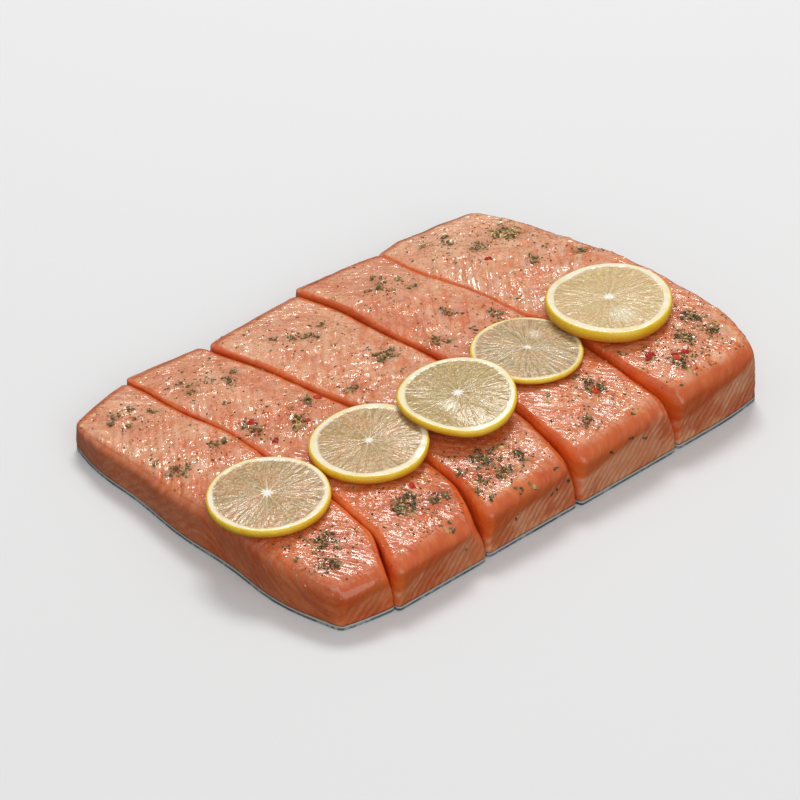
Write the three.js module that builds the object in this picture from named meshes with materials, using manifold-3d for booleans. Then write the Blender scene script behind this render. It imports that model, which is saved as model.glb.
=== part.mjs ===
// A side of salmon, skin side down, cut across into five portions that still lie together in the
// shape of the side. Marinade herbs stick to the flesh, and a row of lemon slices lies on top.
// Units are millimetres. +X runs along the side from its tail end, +Y runs across it from the back
// to the belly, and +Z is up. The origin is in the middle of the underside.
import * as THREE from "three";
import { mergeVertices } from "three/addons/utils/BufferGeometryUtils.js";
import Module from "manifold-3d";

const wasm = await Module();
wasm.setup();

// The whole side
const BACK_Y = -97;
const BELLY_Y = 96;
const SKIN_THICKNESS = 2;
const SKIN_GAP = 0.3;
const FLESH_BASE = SKIN_THICKNESS + SKIN_GAP;

// The thickest line of the side, as a share of its width from the back, and how much the height has
// dropped from there to the back edge and to the belly edge.
const RIDGE = 0.3;
const BACK_DROP = 0.18;
const BELLY_DROP = 0.5;
const BELLY_CURVE = 1.6;

// The cuts across the side, from the tail end to the head end: where each is at these shares of the
// width from the back, how far it waves to and fro, and how far the flesh on its tail side draws back
// at the top of the back edge, from this share of the height up.
const CUT_GAP = 0.6;
const CUT_WAVE = 0.7;
const CUT_WAVE_LENGTH = 10;
const DRAWN_BACK_SHARE = 0.2;
const DRAWN_BACK_FROM = 0.25;
const CUT_STATIONS = [0, 0.14, 0.32, 0.5, 1];
const CUTS = [
  { x: [-131, -132, -132, -132, -130], drawnBack: 0 },
  { x: [-98.5, -88.5, -87.5, -87.5, -88.5], drawnBack: 3 },
  { x: [-44.8, -41, -39, -37.5, -45], drawnBack: 6 },
  { x: [10.5, 9.8, 12, 13.7, 15], drawnBack: 3.5 },
  { x: [70.5, 67.5, 67, 65, 63], drawnBack: 4.5 },
  { x: [130, 132, 131.5, 130, 128], drawnBack: 0 },
];

// The portions: thickness at the ridge, how much of it is lost towards the tail, how far the back and
// belly ends stand out, the slant of the belly end, how much lower the cut edges are than the middle,
// and where their lumps start.
const PORTIONS = [
  { thick: 27.5, lean: 0.11, back: 0, belly: -4, slant: 4, dome: 0.05, phase: 0.4 },
  { thick: 28.5, lean: 0.02, back: -0.6, belly: 0, slant: -2, dome: 0.06, phase: 1.9 },
  { thick: 31, lean: 0.02, back: 0.4, belly: -3, slant: 3, dome: 0.06, phase: 3.1 },
  { thick: 33.2, lean: 0, back: -0.4, belly: 0, slant: -3, dome: 0.05, phase: 4.4 },
  { thick: 36.3, lean: 0.02, back: 0, belly: 0, slant: 0, dome: 0.05, phase: 5.6 },
];

// The belly half of the last portion slopes down to its tail side: how wide the slope is, how far it
// drops, and the share of the side's width where it starts and where it is full.
const SLOPE = { portion: 4, width: 14, drop: 3.2, start: 0.4, full: 0.5 };

const LUMP = 0.8;
const LUMP_LENGTH_X = 13;
const LUMP_LENGTH_Y = 17;

// How far the rounding of a portion's edges reaches in along X, Y and Z, at the back edge and past
// this share of the width. The tail end of the side is thin and its head end is open. Between them,
// each portion presses against its neighbours with its tail side and its head side. The last share of
// the width, at the belly edge, is rounded as the open end is. The others are what is left of the
// rounding along X and Y at the base, and how square it is.
const ROUND_SHARE = 0.22;
const ROUND_BACK = { thin: [9, 14, 11], open: [5.5, 12, 10], tail: [4.5, 11, 7], head: [6.5, 11, 7.5] };
const ROUND_ELSEWHERE = { thin: [9, 8, 10], open: [3.4, 7, 3.8], tail: [2, 7, 1.7], head: [2.7, 7, 2.1] };
const ROUND_BELLY_SHARE = 0.08;
const ROUND_LEFT_AT_BASE = 0.4;
const ROUND_POWER = 2.3;

// The outer corners of the side are rounded off: how much comes off, over what reach.
const CORNERS = [
  { portion: 0, x: -131, y: BACK_Y, trim: 9, reach: 40 },
  { portion: 0, x: -130, y: BELLY_Y, trim: 7, reach: 34 },
  { portion: 4, x: 128, y: BACK_Y, trim: 4, reach: 24 },
  { portion: 4, x: 128, y: BELLY_Y, trim: 11, reach: 56 },
];

// The lemon slices, lowest first, because later ones lie on the edges of earlier ones.
const SLICES = [
  { name: "lemon_slice_1", x: -109.2, y: -28.5, radius: 26.8, thick: 4, long: 0, egg: 0 },
  { name: "lemon_slice_2", x: -55.1, y: -32.3, radius: 26.8, thick: 4.2, long: -0.02, egg: 0.006 },
  { name: "lemon_slice_4", x: 40.8, y: -31.2, radius: 26.1, thick: 2.7, long: -0.025, egg: 0.01 },
  { name: "lemon_slice_3", x: -9.2, y: -39.4, radius: 26.7, thick: 3.7, long: -0.01, egg: 0.025 },
  { name: "lemon_slice_5", x: 90.6, y: -33, radius: 29.4, thick: 6, long: -0.015, egg: 0.008 },
];
const SLICE_GAP = 0.4;
const SLICE_BEND = 0.002;
const SLICE_SIDES = 32;
const SLICE_TURN = 2.4;
const REST_RINGS = [0.25, 0.5, 0.75, 0.9, 1];
const REST_MARGIN = 0.3;

// Patches of the marinade where its larger flakes of herbs and chilli stick to the flesh: the middle
// of each, how far it reaches, and how many flakes it has.
const PATCHES = [
  { x: -109, y: -64, reach: 5, flakes: 5 },
  { x: -116, y: -76, reach: 4, flakes: 3 },
  { x: -96, y: 21, reach: 3, flakes: 2 },
  { x: -118, y: 20, reach: 5, flakes: 3 },
  { x: -108, y: 66, reach: 12, flakes: 5 },
  { x: -69, y: -71, reach: 6, flakes: 8 },
  { x: -54, y: -76, reach: 4, flakes: 3 },
  { x: -77, y: 18, reach: 5, flakes: 4 },
  { x: -62, y: 6, reach: 5, flakes: 4 },
  { x: -48, y: 17, reach: 3, flakes: 2 },
  { x: -66, y: 64, reach: 14, flakes: 6 },
  { x: -23, y: -70, reach: 5, flakes: 6 },
  { x: -23, y: -83, reach: 4, flakes: 4 },
  { x: -10, y: -80, reach: 3, flakes: 2 },
  { x: -35, y: -80, reach: 3, flakes: 2 },
  { x: -2, y: 17, reach: 5, flakes: 5 },
  { x: -30, y: 8, reach: 3, flakes: 2 },
  { x: -14, y: 62, reach: 14, flakes: 6 },
  { x: 45, y: -68, reach: 5, flakes: 6 },
  { x: 27, y: -82, reach: 3, flakes: 2 },
  { x: 54, y: 3, reach: 4, flakes: 3 },
  { x: 22, y: 6, reach: 4, flakes: 3 },
  { x: 41, y: 22, reach: 3, flakes: 2 },
  { x: 38, y: 60, reach: 14, flakes: 6 },
  { x: 114, y: -62, reach: 4, flakes: 4 },
  { x: 116, y: -74, reach: 4, flakes: 3 },
  { x: 100, y: -72, reach: 4, flakes: 4 },
  { x: 88, y: -80, reach: 4, flakes: 4 },
  { x: 78, y: -71, reach: 3, flakes: 2 },
  { x: 109, y: 54, reach: 6, flakes: 8 },
  { x: 91, y: 54, reach: 4, flakes: 4 },
  { x: 98, y: 23, reach: 3, flakes: 2 },
  { x: 120, y: 15, reach: 4, flakes: 2 },
  { x: 84, y: 74, reach: 8, flakes: 3 },
];
const TRIES_PER_FLAKE = 12;
const FLAKE_LENGTH = 2.4;
const FLAKE_WIDTH = 1.4;
const FLAKE_HEIGHT = 0.7;
const FLAKE_SIZES = [0.7, 1.25];
const FLAKE_SPACING = 2.8;
const FLAKE_SLICE_CLEARANCE = 3.6;
const FLAKE_CUT_CLEARANCE = 6;
const FLAKE_END_CLEARANCE = 13;
const FLAKE_SEED = 101;

// How finely the flesh is divided into faces
const GRID_STEP = 5;
const GRID_ROWS = 18;
const GRID_LEVELS = [0, 0.45, 0.74, 0.91, 1];
const LOW_EDGE_SHARES = [0, 0.3, 0.6];
const HIGH_EDGE_SHARES = [0.6, 0.25, 0];

const FLESH_COLOUR = 0xe2784a;
const SKIN_COLOUR = 0xb9bcc0;
const LEMON_COLOUR = 0xe8c84a;

const sum = (values) => values.reduce((a, b) => a + b, 0);
const clamp = (value, low, high) => Math.min(Math.max(value, low), high);
const mix = (a, b, share) => a + (b - a) * share;

// Where a point lies between the back edge (0) and the belly edge (1) of the side.
const acrossSide = (y) => clamp((y - BACK_Y) / (BELLY_Y - BACK_Y), 0, 1);

const smooth = (share) => share * share * (3 - 2 * share);

function cutX(cut, t) {
  const next = Math.max(1, CUT_STATIONS.findIndex((station) => station >= t));
  const [from, to] = CUT_STATIONS.slice(next - 1, next + 1);
  const wave = CUT_WAVE * Math.sin((t * (BELLY_Y - BACK_Y)) / CUT_WAVE_LENGTH + cut.x[0]);
  return mix(cut.x[next - 1], cut.x[next], smooth((t - from) / (to - from))) + wave;
}

// The two faces of a portion, at a share of the side's width and of the portion's height.
function facesAt(index, t, level = 1) {
  const head = CUTS[index + 1];
  const open = smooth(clamp((level - DRAWN_BACK_FROM) / (1 - DRAWN_BACK_FROM), 0, 1));
  const drawn = head.drawnBack * open * Math.max(0, 1 - t / DRAWN_BACK_SHARE) ** 2;
  return [cutX(CUTS[index], t) + CUT_GAP / 2, cutX(head, t) - CUT_GAP / 2 - drawn];
}

function heightShare(t) {
  if (t < RIDGE) return 1 - BACK_DROP * (1 - t / RIDGE) ** 2;
  return 1 - BELLY_DROP * ((t - RIDGE) / (1 - RIDGE)) ** BELLY_CURVE;
}

// How far a portion's top is lowered by its slope to the tail side.
function slopeDrop(index, x, t, tailX) {
  if (index !== SLOPE.portion) return 0;
  const share = smooth(clamp((t - SLOPE.start) / (SLOPE.full - SLOPE.start), 0, 1));
  return SLOPE.drop * share * Math.max(0, 1 - (x - tailX) / SLOPE.width);
}

// The height of a portion's top, before its edges are rounded.
function topHeight(index, x, y) {
  const portion = PORTIONS[index];
  const t = acrossSide(y);
  const [tailX, headX] = facesAt(index, t);
  const across = clamp((2 * x - tailX - headX) / (headX - tailX), -1, 1);
  const share = heightShare(t) * (1 - portion.dome * across ** 2) * (1 - (portion.lean * (1 - across)) / 2);
  const waves = Math.sin(y / LUMP_LENGTH_Y + portion.phase) * Math.cos(x / LUMP_LENGTH_X + portion.phase);
  return portion.thick * share + LUMP * waves - slopeDrop(index, x, t, tailX);
}

// A portion starts as a block with rounded edges, which is then bent to the side's shape.
const BLOCK_HEIGHT = 30;
const BLOCK_HALF_LENGTH = (BELLY_Y - BACK_Y) / 2;
const blockHalfWidth = (index) => (CUTS[index + 1].x[1] - CUTS[index].x[1]) / 2;

// What a portion's tail side and head side are: an end of the side, or pressed against a neighbour.
const sidesOf = (index) => [index > 0 ? "tail" : "thin", index < PORTIONS.length - 1 ? "head" : "open"];

function roundedBlock(index, x, y, z) {
  const halfWidth = blockHalfWidth(index);
  const t = (y + BLOCK_HALF_LENGTH) / (2 * BLOCK_HALF_LENGTH);
  const fromBack = smooth(clamp(t / ROUND_SHARE, 0, 1));
  const fromBelly = smooth(clamp((1 - t) / ROUND_BELLY_SHARE, 0, 1));
  const toHead = smooth((x / halfWidth + 1) / 2);
  const left = mix(ROUND_LEFT_AT_BASE, 1, smooth(z / BLOCK_HEIGHT));
  const reach = [left, left, 1].map((share, axis) => {
    const [tail, head] = sidesOf(index).map((side) => {
      const elsewhere = mix(ROUND_ELSEWHERE.open[axis], ROUND_ELSEWHERE[side][axis], fromBelly);
      return mix(ROUND_BACK[side][axis], elsewhere, fromBack);
    });
    return share * mix(tail, head, toHead);
  });
  const half = [halfWidth, BLOCK_HALF_LENGTH, BLOCK_HEIGHT];
  const core = half.map((value, axis) => value - reach[axis]);
  const point = [Math.abs(x), Math.abs(y), z];
  const past = point.map((value, axis) => Math.max(value - core[axis], 0) / reach[axis]);
  const length = sum(past.map((value) => value ** ROUND_POWER)) ** (1 / ROUND_POWER);
  const shrink = length > 0 ? Math.max(...past) / length : 1;
  const round = point.map((value, axis) => Math.min(value, core[axis]) + past[axis] * shrink * reach[axis]);
  return [Math.sign(x) * round[0], Math.sign(y) * round[1], round[2]];
}

function trimmedCorners(index, x, y) {
  for (const corner of CORNERS.filter((one) => one.portion === index)) {
    const inX = -Math.sign(corner.x) * Math.SQRT1_2;
    const inY = -Math.sign(corner.y) * Math.SQRT1_2;
    const depth = (x - corner.x) * inX + (y - corner.y) * inY;
    const push = corner.trim * Math.max(0, 1 - Math.max(depth, 0) / corner.reach) ** 2;
    x += inX * push;
    y += inY * push;
  }
  return [x, y];
}

function fleshPoint(index, blockX, blockY, blockZ) {
  const portion = PORTIONS[index];
  const halfWidth = blockHalfWidth(index);
  const [bx, by, bz] = roundedBlock(index, blockX, blockY, blockZ);
  const alongWidth = bx / halfWidth;
  const belly = BELLY_Y + portion.belly + portion.slant * alongWidth;
  const plainY = mix(BACK_Y + portion.back, belly, (by + BLOCK_HALF_LENGTH) / (2 * BLOCK_HALF_LENGTH));
  const [tailX, headX] = facesAt(index, acrossSide(plainY), bz / BLOCK_HEIGHT);
  const plainX = mix(tailX, headX, (alongWidth + 1) / 2);
  const [x, y] = trimmedCorners(index, plainX, plainY);
  const z = mix(FLESH_BASE, topHeight(index, plainX, plainY), bz / BLOCK_HEIGHT);
  return [x, y, z];
}

// Grid lines from -half to half, with closer ones near the rounded edges.
function gridLines(half, low, high, steps) {
  const inner = Array.from({ length: steps + 1 }, (_, i) => mix(-half + low, half - high, i / steps));
  const lowEdge = LOW_EDGE_SHARES.map((share) => -half + low * share);
  const highEdge = HIGH_EDGE_SHARES.map((share) => half - high * share);
  return [...lowEdge, ...inner, ...highEdge];
}

// The closed surface of a block: a grid on top, rings down the sides, and a flat base.
function blockSurface(xs, ys, zs, pointAt) {
  const positions = [];
  const addPoint = (x, y, z) => positions.push(...pointAt(x, y, z)) / 3 - 1;
  const top = xs.map((x) => ys.map((y) => addPoint(x, y, zs.at(-1))));
  const lastX = xs.length - 1;
  const lastY = ys.length - 1;
  const border = [
    ...xs.slice(0, -1).map((_, i) => [i, 0]),
    ...ys.slice(0, -1).map((_, j) => [lastX, j]),
    ...xs.slice(0, -1).map((_, i) => [lastX - i, lastY]),
    ...ys.slice(0, -1).map((_, j) => [0, lastY - j]),
  ];
  const rings = zs.slice(0, -1).map((z) => border.map(([i, j]) => addPoint(xs[i], ys[j], z)));
  rings.push(border.map(([i, j]) => top[i][j]));
  const faces = [];
  for (let i = 0; i < lastX; i++) {
    for (let j = 0; j < lastY; j++) {
      faces.push(top[i][j], top[i + 1][j], top[i + 1][j + 1]);
      faces.push(top[i][j], top[i + 1][j + 1], top[i][j + 1]);
    }
  }
  for (let level = 0; level < rings.length - 1; level++) {
    border.forEach((_, i) => {
      const next = (i + 1) % border.length;
      faces.push(rings[level][i], rings[level][next], rings[level + 1][next]);
      faces.push(rings[level][i], rings[level + 1][next], rings[level + 1][i]);
    });
  }
  const outline = rings[0].map((p) => new THREE.Vector2(positions[3 * p], positions[3 * p + 1]));
  for (const [a, b, c] of THREE.ShapeUtils.triangulateShape(outline, [])) {
    faces.push(rings[0][a], rings[0][c], rings[0][b]);
  }
  const geometry = new THREE.BufferGeometry();
  geometry.setAttribute("position", new THREE.Float32BufferAttribute(positions, 3));
  geometry.setIndex(faces);
  return { geometry, outline };
}

const MERGE_DISTANCE = 1e-4;

function solidOf(geometry) {
  const bare = geometry.clone();
  bare.deleteAttribute("normal");
  bare.deleteAttribute("uv");
  const merged = mergeVertices(bare, MERGE_DISTANCE);
  const mesh = new wasm.Mesh({
    numProp: 3,
    vertProperties: new Float32Array(merged.attributes.position.array),
    triVerts: new Uint32Array(merged.index.array),
  });
  return new wasm.Manifold(mesh);
}

function geometryOf(solid) {
  const mesh = solid.getMesh();
  const geometry = new THREE.BufferGeometry();
  geometry.setAttribute("position", new THREE.BufferAttribute(new Float32Array(mesh.vertProperties), 3));
  geometry.setIndex(new THREE.BufferAttribute(new Uint32Array(mesh.triVerts), 1));
  return geometry;
}

// A repeatable stream of numbers from 0 to 1.
function numberStream(seed) {
  let state = seed >>> 0;
  return () => {
    state = (Math.imul(state, 1664525) + 1013904223) >>> 0;
    return state / 2 ** 32;
  };
}

// Whether a flake at a point lies flat on a portion's top, clear of its edges.
function fitsOnTop(index, x, y) {
  const [tailX, headX] = facesAt(index, acrossSide(y));
  const fromCuts = Math.min(x - tailX, headX - x);
  const fromEnds = Math.min(y - BACK_Y, BELLY_Y - y);
  return fromCuts > FLAKE_CUT_CLEARANCE && fromEnds > FLAKE_END_CLEARANCE;
}

// Places for the larger flakes: on top of the portions, clear of their edges, the slices and each other.
function flakePlaces() {
  const draw = numberStream(FLAKE_SEED);
  const places = [];
  for (const patch of PATCHES) {
    let left = patch.flakes;
    for (let tries = 0; tries < patch.flakes * TRIES_PER_FLAKE && left > 0; tries++) {
      const distance = patch.reach * Math.sqrt(draw());
      const direction = 2 * Math.PI * draw();
      const turn = Math.PI * draw();
      const size = mix(...FLAKE_SIZES, draw());
      const x = patch.x + distance * Math.cos(direction);
      const y = patch.y + distance * Math.sin(direction);
      const portion = PORTIONS.findIndex((_, index) => fitsOnTop(index, x, y));
      const clearOfSlices = SLICES.every(
        (slice) => Math.hypot(x - slice.x, y - slice.y) > slice.radius + FLAKE_SLICE_CLEARANCE,
      );
      const clearOfFlakes = places.every((p) => Math.hypot(x - p.x, y - p.y) > FLAKE_SPACING);
      if (portion < 0 || !clearOfSlices || !clearOfFlakes) continue;
      places.push({ portion, x, y, z: topHeight(portion, x, y), turn, size });
      left--;
    }
  }
  return places;
}

function flakeSolid(place) {
  const shape = new THREE.Matrix4().compose(
    new THREE.Vector3(place.x, place.y, place.z),
    new THREE.Quaternion().setFromEuler(new THREE.Euler(0, 0, place.turn)),
    new THREE.Vector3(FLAKE_LENGTH, FLAKE_WIDTH, FLAKE_HEIGHT).multiplyScalar(place.size),
  );
  return solidOf(new THREE.SphereGeometry(1, 6, 3).rotateX(Math.PI / 2).applyMatrix4(shape));
}

const allFlakes = flakePlaces();

function portionParts(index) {
  const halfWidth = blockHalfWidth(index);
  const [tailReach, headReach] = sidesOf(index).map((side) => ROUND_BACK[side][0]);
  const xs = gridLines(halfWidth, tailReach, headReach, Math.round(halfWidth / GRID_STEP));
  const ys = gridLines(BLOCK_HALF_LENGTH, ROUND_BACK.open[1], ROUND_ELSEWHERE.open[1], GRID_ROWS);
  const zs = GRID_LEVELS.map((share) => share * BLOCK_HEIGHT);
  const { geometry, outline } = blockSurface(xs, ys, zs, (x, y, z) => fleshPoint(index, x, y, z));
  const flakes = allFlakes.filter((place) => place.portion === index).map(flakeSolid);
  const flesh = flakes.reduce((joined, flake) => joined.add(flake), solidOf(geometry));
  const skin = new THREE.ExtrudeGeometry(new THREE.Shape(outline), {
    depth: SKIN_THICKNESS,
    bevelEnabled: false,
  });
  return { flesh: geometryOf(flesh), skin };
}

// What lies under a slice: the flesh, and the tops of the slices that were laid before it.
function supportHeight(x, y, laid) {
  const t = acrossSide(y);
  const index = PORTIONS.findIndex((_, i) => x >= cutX(CUTS[i], t) && x <= cutX(CUTS[i + 1], t));
  const flesh = index < 0 ? 0 : topHeight(index, x, y) + SLICE_GAP;
  const tops = laid
    .filter((one) => Math.hypot(x - one.x, y - one.y) < one.radius + REST_MARGIN)
    .map((one) => one.restAt(x, y) + one.thick + SLICE_GAP);
  return Math.max(flesh, ...tops);
}

const sliceAngles = Array.from({ length: SLICE_SIDES }, (_, i) => (2 * Math.PI * i) / SLICE_SIDES);

// A slice tilts as what lies under it does, rests on the high points and bends only gently between.
function restingSurface(slice, laid) {
  const places = REST_RINGS.flatMap((share) =>
    sliceAngles.map((angle) => [
      slice.radius * share * Math.cos(angle),
      slice.radius * share * Math.sin(angle),
    ]),
  );
  const samples = [[0, 0], ...places].map(([dx, dy]) => ({
    dx,
    dy,
    z: supportHeight(slice.x + dx, slice.y + dy, laid),
  }));
  const held = samples.filter((s) => s.z > 0);
  const meanZ = sum(held.map((s) => s.z)) / held.length;
  const slopeX = sum(held.map((s) => (s.z - meanZ) * s.dx)) / sum(held.map((s) => s.dx ** 2));
  const slopeY = sum(held.map((s) => (s.z - meanZ) * s.dy)) / sum(held.map((s) => s.dy ** 2));
  const tilt = (dx, dy) => slopeX * dx + slopeY * dy;
  const rests = held.map((s) => ({ dx: s.dx, dy: s.dy, rise: s.z - tilt(s.dx, s.dy) }));
  return (x, y) => {
    const [dx, dy] = [x - slice.x, y - slice.y];
    const rises = rests.map((r) => r.rise - SLICE_BEND * ((dx - r.dx) ** 2 + (dy - r.dy) ** 2));
    return tilt(dx, dy) + Math.max(...rises);
  };
}

// The section of a slice, under and over its rim: share of the radius, share of the thickness.
const SLICE_PROFILE = [
  [0.55, 0],
  [0.94, 0],
  [1, 0.25],
  [1, 0.75],
  [0.96, 1],
  [0.55, 1],
];

function sliceGeometry(slice) {
  const positions = [];
  const addPoint = (share, rise, angle) => {
    const turned = angle - SLICE_TURN;
    const uneven = slice.long * Math.cos(2 * turned) + slice.egg * Math.cos(3 * turned);
    const reach = slice.radius * share * (1 + uneven);
    const x = slice.x + reach * Math.cos(angle);
    const y = slice.y + reach * Math.sin(angle);
    return positions.push(x, y, slice.restAt(x, y) + rise * slice.thick) / 3 - 1;
  };
  const ringAt = ([share, rise]) => sliceAngles.map((angle) => addPoint(share, rise, angle));
  const rings = SLICE_PROFILE.map(ringAt);
  const low = addPoint(0, 0, 0);
  const high = addPoint(0, 1, 0);
  const faces = [];
  sliceAngles.forEach((_, i) => {
    const next = (i + 1) % SLICE_SIDES;
    faces.push(low, rings[0][next], rings[0][i]);
    faces.push(high, rings.at(-1)[i], rings.at(-1)[next]);
    for (let level = 0; level < rings.length - 1; level++) {
      faces.push(rings[level][i], rings[level][next], rings[level + 1][next]);
      faces.push(rings[level][i], rings[level + 1][next], rings[level + 1][i]);
    }
  });
  const geometry = new THREE.BufferGeometry();
  geometry.setAttribute("position", new THREE.Float32BufferAttribute(positions, 3));
  geometry.setIndex(faces);
  return geometry;
}

function namedMesh(name, geometry, material) {
  geometry.computeVertexNormals();
  const mesh = new THREE.Mesh(geometry, material);
  mesh.name = name;
  return mesh;
}

const fleshMaterial = new THREE.MeshStandardMaterial({ color: FLESH_COLOUR, roughness: 0.3, metalness: 0 });
const skinMaterial = new THREE.MeshStandardMaterial({ color: SKIN_COLOUR, roughness: 0.35, metalness: 0.1 });
const lemonMaterial = new THREE.MeshStandardMaterial({ color: LEMON_COLOUR, roughness: 0.35, metalness: 0 });

const side = new THREE.Group();
PORTIONS.forEach((_, index) => {
  const { flesh, skin } = portionParts(index);
  side.add(namedMesh(`portion_${index + 1}`, flesh, fleshMaterial));
  side.add(namedMesh(`skin_${index + 1}`, skin, skinMaterial));
});
const laid = [];
for (const plain of SLICES) {
  const slice = { ...plain, restAt: restingSurface(plain, laid) };
  side.add(namedMesh(slice.name, sliceGeometry(slice), lemonMaterial));
  laid.push(slice);
}

const box = new THREE.Box3().setFromObject(side);
const middle = box.getCenter(new THREE.Vector3());
side.position.set(-middle.x, -middle.y, -box.min.z);

export default side;
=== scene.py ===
"""The looks of a side of salmon in five portions, with its marinade and a row of lemon slices.

Shapes are worked out in millimetres, in the coordinates that the source has before it centres the
side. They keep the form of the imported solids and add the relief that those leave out.
"""
import math

import bpy
import numpy as np
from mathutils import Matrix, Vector
from mathutils.bvhtree import BVHTree


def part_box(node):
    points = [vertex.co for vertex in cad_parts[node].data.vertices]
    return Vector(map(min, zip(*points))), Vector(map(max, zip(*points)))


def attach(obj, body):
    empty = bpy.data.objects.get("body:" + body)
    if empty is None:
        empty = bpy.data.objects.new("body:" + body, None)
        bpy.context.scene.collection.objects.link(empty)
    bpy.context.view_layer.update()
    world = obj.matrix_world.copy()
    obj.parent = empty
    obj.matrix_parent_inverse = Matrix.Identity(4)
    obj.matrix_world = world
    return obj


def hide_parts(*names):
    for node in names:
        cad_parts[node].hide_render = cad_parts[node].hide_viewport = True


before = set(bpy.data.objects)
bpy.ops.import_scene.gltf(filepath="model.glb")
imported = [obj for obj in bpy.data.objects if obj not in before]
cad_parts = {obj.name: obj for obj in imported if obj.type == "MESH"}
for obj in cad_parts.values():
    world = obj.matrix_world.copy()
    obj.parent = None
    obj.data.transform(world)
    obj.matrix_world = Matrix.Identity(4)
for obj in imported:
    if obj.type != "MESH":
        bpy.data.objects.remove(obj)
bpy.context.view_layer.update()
MM = 0.001


def table(keys, rows):
    """Rows of values as dictionaries with the same keys."""
    return [dict(zip(keys.split(), row)) for row in rows]


# The camera
CAMERA_MM = (-844.91, -921.29, 908.0)
CAMERA_TURN_DEG = (54.34, 0, -42.35)
CAMERA_LENS = 154.04
CAMERA_SENSOR = 36

camera_data = bpy.data.cameras.new("camera")
camera_data.lens = CAMERA_LENS
camera_data.sensor_width = CAMERA_SENSOR
camera = bpy.data.objects.new("camera", camera_data)
camera.location = [value * MM for value in CAMERA_MM]
camera.rotation_euler = [math.radians(value) for value in CAMERA_TURN_DEG]
bpy.context.scene.collection.objects.link(camera)
bpy.context.scene.camera = camera
bpy.context.scene.view_settings.view_transform = "Standard"

# The side's shape, as in the source
BACK_Y = -97
BELLY_Y = 96
SKIN_THICKNESS = 2
SKIN_GAP = 0.3
FLESH_BASE = SKIN_THICKNESS + SKIN_GAP
RIDGE = 0.3
BACK_DROP = 0.18
BELLY_DROP = 0.5
BELLY_CURVE = 1.6
CUT_GAP = 0.6
CUT_WAVE = 0.7
CUT_WAVE_LENGTH = 10
DRAWN_BACK_SHARE = 0.2
DRAWN_BACK_FROM = 0.25
CUT_STATIONS = np.array([0, 0.14, 0.32, 0.5, 1])
CUTS = table("x drawn_back", [
    ([-131, -132, -132, -132, -130], 0),
    ([-98.5, -88.5, -87.5, -87.5, -88.5], 3),
    ([-44.8, -41, -39, -37.5, -45], 6),
    ([10.5, 9.8, 12, 13.7, 15], 3.5),
    ([70.5, 67.5, 67, 65, 63], 4.5),
    ([130, 132, 131.5, 130, 128], 0),
])
PORTIONS = table("thick lean back belly slant dome phase", [
    (27.5, 0.11, 0, -4, 4, 0.05, 0.4),
    (28.5, 0.02, -0.6, 0, -2, 0.06, 1.9),
    (31, 0.02, 0.4, -3, 3, 0.06, 3.1),
    (33.2, 0, -0.4, 0, -3, 0.05, 4.4),
    (36.3, 0.02, 0, 0, 0, 0.05, 5.6),
])
SLOPE = {"portion": 4, "width": 14, "drop": 3.2, "start": 0.4, "full": 0.5}
LUMP = 0.8
LUMP_LENGTH_X = 13
LUMP_LENGTH_Y = 17
ROUND_SHARE = 0.22
# How far the rounding reaches in from each kind of side, along X, Y and Z
THIN, OPEN, TAIL, HEAD = range(4)
ROUND_BACK = np.array([[9, 14, 11], [5.5, 12, 10], [4.5, 11, 7], [6.5, 11, 7.5]])
ROUND_ELSEWHERE = np.array([[9, 8, 10], [3.4, 7, 3.8], [2, 7, 1.7], [2.7, 7, 2.1]])
ROUND_BELLY_SHARE = 0.08
ROUND_LEFT_AT_BASE = 0.4
ROUND_POWER = 2.3
CORNERS = table("portion x y trim reach", [
    (0, -131, BACK_Y, 9, 40),
    (0, -130, BELLY_Y, 7, 34),
    (4, 128, BACK_Y, 4, 24),
    (4, 128, BELLY_Y, 11, 56),
])
# The lemon slices in the order in which they were laid down
SLICES = table("name x y radius thick oval egg", [
    ("lemon_slice_1", -109.2, -28.5, 26.8, 4, 0, 0),
    ("lemon_slice_2", -55.1, -32.3, 26.8, 4.2, -0.02, 0.006),
    ("lemon_slice_4", 40.8, -31.2, 26.1, 2.7, -0.025, 0.01),
    ("lemon_slice_3", -9.2, -39.4, 26.7, 3.7, -0.01, 0.025),
    ("lemon_slice_5", 90.6, -33, 29.4, 6, -0.015, 0.008),
])
SLICE_GAP = 0.4
SLICE_BEND = 0.002
SLICE_SIDES = 32
SIDE_ANGLES = 2 * math.pi * np.arange(SLICE_SIDES) / SLICE_SIDES
SLICE_TURN = 2.4
REST_RINGS = np.array([0.25, 0.5, 0.75, 0.9, 1])
REST_MARGIN = 0.3
BLOCK_HEIGHT = 30
BLOCK_HALF_LENGTH = (BELLY_Y - BACK_Y) / 2
# Where the larger flakes gather: x, y, how far they reach and how many there are
PATCHES = [
    (-109, -64, 5, 5), (-116, -76, 4, 3), (-96, 21, 3, 2), (-118, 20, 5, 3), (-108, 66, 12, 5),
    (-69, -71, 6, 8), (-54, -76, 4, 3), (-77, 18, 5, 4), (-62, 6, 5, 4), (-48, 17, 3, 2),
    (-66, 64, 14, 6), (-23, -70, 5, 6), (-23, -83, 4, 4), (-10, -80, 3, 2), (-35, -80, 3, 2),
    (-2, 17, 5, 5), (-30, 8, 3, 2), (-14, 62, 14, 6), (45, -68, 5, 6), (27, -82, 3, 2),
    (54, 3, 4, 3), (22, 6, 4, 3), (41, 22, 3, 2), (38, 60, 14, 6), (114, -62, 4, 4),
    (116, -74, 4, 3), (100, -72, 4, 4), (88, -80, 4, 4), (78, -71, 3, 2), (109, 54, 6, 8),
    (91, 54, 4, 4), (98, 23, 3, 2), (120, 15, 4, 2), (84, 74, 8, 3),
]
TRIES_PER_FLAKE = 12
FLAKE_LENGTH = 2.4
FLAKE_WIDTH = 1.4
FLAKE_HEIGHT = 0.7
FLAKE_SIZES = (0.7, 1.25)
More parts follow.
